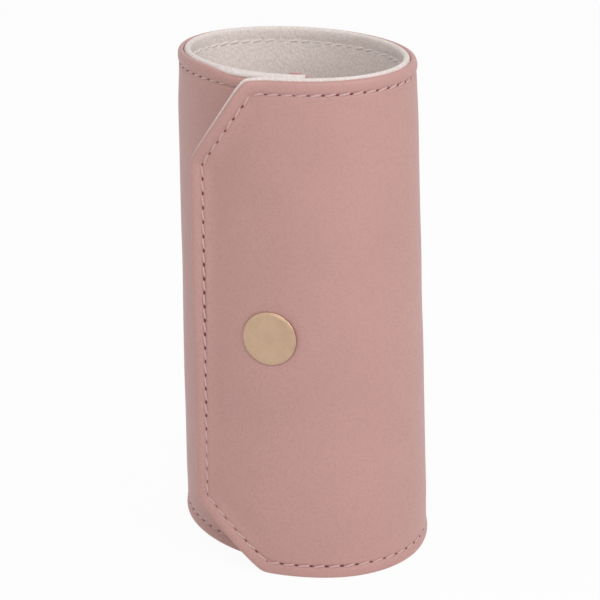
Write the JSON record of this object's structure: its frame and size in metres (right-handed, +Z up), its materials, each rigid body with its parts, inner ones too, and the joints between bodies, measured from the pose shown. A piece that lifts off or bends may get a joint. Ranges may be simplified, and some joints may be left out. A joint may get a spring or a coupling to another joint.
{
  "type": "travel jewelry roll",
  "caption": "Padded pink leather jewelry roll with a pale velvet lining, rolled into an upright oval tube and held shut by a snapped flap.",
  "frame": {"origin": "centre of the rolled case's outline, flap included, on the surface it stands on", "axes": "+Z up along the tube, -Y towards the front where the snapped flap lies, +X to the right seen from the front"},
  "size_m": [0.0876, 0.092, 0.175],
  "materials": {
    "leather": "soft satin grain",
    "board": "matt",
    "lining": "short velvet pile",
    "gold": "satin plated",
    "foam": "matt",
    "tape": "woven"
  },
  "bodies": {
    "panel_1": {"leather_1": "leather", "board_1": "board", "lining_1": "lining", "snap_stud": "gold", "snap_stud_washer": "gold", "ring_bar_anchor": "leather", "bar_snap_post": "gold"},
    "panel_2": {"leather_2": "leather", "board_2": "board", "lining_2": "lining"},
    "panel_3": {"leather_3": "leather", "board_3": "board", "lining_3": "lining"},
    "panel_4": {"leather_4": "leather", "board_4": "board", "lining_4": "lining", "pocket_panel": "lining", "zip_tape_left": "tape", "zip_tape_right": "tape", "zip_teeth_left": "gold", "zip_teeth_right": "gold", "zip_stop_top": "gold", "zip_stop_bottom": "gold"},
    "panel_5": {"leather_5": "leather", "board_5": "board", "lining_5": "lining"},
    "panel_6": {"leather_6": "leather", "board_6": "board", "lining_6": "lining"},
    "panel_7": {"leather_7": "leather", "board_7": "board", "lining_7": "lining", "necklace_base_1": "leather", "necklace_snap_post_1": "gold", "necklace_base_2": "leather", "necklace_snap_post_2": "gold"},
    "panel_8": {"leather_8": "leather", "board_8": "board", "lining_8": "lining"},
    "panel_9": {"leather_9": "leather", "board_9": "board", "lining_9": "lining"},
    "flap": {"leather_flap": "leather", "board_flap": "board", "lining_flap": "lining", "snap_cap": "gold", "snap_socket": "gold"},
    "ring_bar": {"ring_bar_cover": "lining", "ring_bar_core": "foam", "ring_bar_tab": "leather", "bar_snap_cap": "gold", "ring_bar_strap": "leather"},
    "zip_slider": {"zip_slider": "gold"},
    "zip_pull": {"zip_pull": "gold"},
    "necklace_tab_1": {"necklace_tab_1": "leather", "necklace_snap_cap_1": "gold"},
    "necklace_tab_2": {"necklace_tab_2": "leather", "necklace_snap_cap_2": "gold"}
  },
  "joints": [
    {"name": "fold_1_2", "type": "hinge", "parent": "panel_2", "child": "panel_1", "pos_m": [-0.02506, -0.02411, 0], "axis": [-0.0109, -0.0132, -0.9999], "range_deg": [0, 24.03]},
    {"name": "fold_2_3", "type": "hinge", "parent": "panel_3", "child": "panel_2", "pos_m": [-0.0416, 0.00094, 0], "axis": [-0.0189, -0.0011, -0.9998], "range_deg": [0, 30.85]},
    {"name": "fold_3_4", "type": "hinge", "parent": "panel_4", "child": "panel_3", "pos_m": [-0.038, 0.03342, 0], "axis": [-0.0172, 0.0145, -0.9997], "range_deg": [0, 52.17]},
    {"name": "fold_4_5", "type": "hinge", "parent": "panel_5", "child": "panel_4", "pos_m": [-0.00686, 0.04581, 0], "axis": [-0.0022, 0.0205, -0.9998], "range_deg": [0, 40.17]},
    {"name": "unroll", "type": "hinge", "parent": "panel_5", "child": "panel_6", "pos_m": [0.02266, 0.03311, 0], "axis": [-0.012, -0.0144, 0.9998], "range_deg": [0, 29.85]},
    {"name": "fold_6_7", "type": "hinge", "parent": "panel_6", "child": "panel_7", "pos_m": [0.04125, 0.00683, 0], "axis": [-0.021, -0.0017, 0.9998], "range_deg": [0, 44.34]},
    {"name": "fold_7_8", "type": "hinge", "parent": "panel_7", "child": "panel_8", "pos_m": [0.03777, -0.03038, 0], "axis": [-0.0235, 0.0194, 0.9995], "range_deg": [0, 60.41]},
    {"name": "fold_8_9", "type": "hinge", "parent": "panel_8", "child": "panel_9", "pos_m": [0.01938, -0.04438, 0], "axis": [-0.0139, 0.0356, 0.9993], "range_deg": [0, 45.17]},
    {"name": "flap_peel", "type": "hinge", "parent": "panel_9", "child": "flap", "pos_m": [0.0022, -0.0457, 0], "axis": [-0.0005, 0.0376, 0.9993], "range_deg": [0, 60]},
    {"name": "ring_bar_lift", "type": "hinge", "parent": "panel_1", "child": "ring_bar", "pos_m": [-0.00191, -0.03021, 0.01489], "axis": [-0.9639, 0.2661, -0.0045], "range_deg": [0, 14]},
    {"name": "zip_slide", "type": "slide", "parent": "panel_4", "child": "zip_slider", "axis": [-0.0105, 0.0195, -0.9998], "range_m": [0, 0.099]},
    {"name": "zip_pull_swing", "type": "hinge", "parent": "zip_slider", "child": "zip_pull", "pos_m": [-0.01966, 0.03272, 0.12977], "axis": [-0.9373, -0.3484, 0.0031], "range_deg": [0, 150]},
    {"name": "necklace_tab_1_lift", "type": "hinge", "parent": "panel_7", "child": "necklace_tab_1", "pos_m": [0.03199, -0.00988, 0.12176], "axis": [0.0733, 0.9973, -0.0054], "range_deg": [0, 100]},
    {"name": "necklace_tab_2_lift", "type": "hinge", "parent": "panel_7", "child": "necklace_tab_2", "pos_m": [0.03306, -0.01021, 0.07378], "axis": [0.0733, 0.9973, -0.0054], "range_deg": [0, 100]}
  ],
  "couplings": [
    {"joint": "fold_1_2", "follows": "unroll", "ratio": 0.80158},
    {"joint": "fold_2_3", "follows": "unroll", "ratio": 1.0301},
    {"joint": "fold_3_4", "follows": "unroll", "ratio": 1.7444},
    {"joint": "fold_4_5", "follows": "unroll", "ratio": 1.3425},
    {"joint": "fold_6_7", "follows": "unroll", "ratio": 1.4819},
    {"joint": "fold_7_8", "follows": "unroll", "ratio": 2.0203},
    {"joint": "fold_8_9", "follows": "unroll", "ratio": 1.51}
  ]
}
